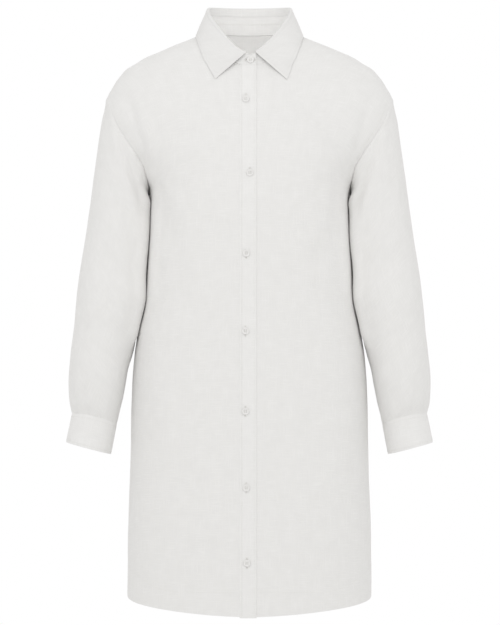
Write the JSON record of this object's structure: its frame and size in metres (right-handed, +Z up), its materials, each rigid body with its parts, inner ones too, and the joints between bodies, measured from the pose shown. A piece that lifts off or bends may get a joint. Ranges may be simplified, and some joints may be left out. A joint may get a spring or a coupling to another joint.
{
  "type": "dress shirt",
  "caption": "Long loose linen shirt with a point collar on a stand, buttoned front placket, dropped shoulders, long cuffed sleeves and a curved hem with side vents, filled out as if worn.",
  "frame": {"origin": "middle of the neck, level with the neck ends of the shoulder seams, where a wearer or a figure holds the shirt", "axes": "+Z up along the wearer, -Y the front of the shirt, -X the wearer's right side"},
  "size_m": [0.585, 0.2544, 0.9701],
  "materials": {
    "linen": "matt plain-woven linen",
    "shell": "soft satin"
  },
  "bodies": {
    "root": {"front_right": "linen", "front_left": "linen", "front_placket": "linen", "back": "linen", "yoke": "linen", "collar_stand": "linen", "collar_leaf": "linen", "sleeve_right": "linen", "sleeve_left": "linen", "sleeve_placket_right": "linen", "sleeve_placket_left": "linen", "cuff_right": "linen", "cuff_left": "linen", "stand_button": "shell", "front_button_1": "shell", "front_button_2": "shell", "front_button_3": "shell", "front_button_4": "shell", "front_button_5": "shell", "front_button_6": "shell", "front_button_7": "shell", "cuff_button_right": "shell", "cuff_button_left": "shell"}
  },
  "joints": []
}
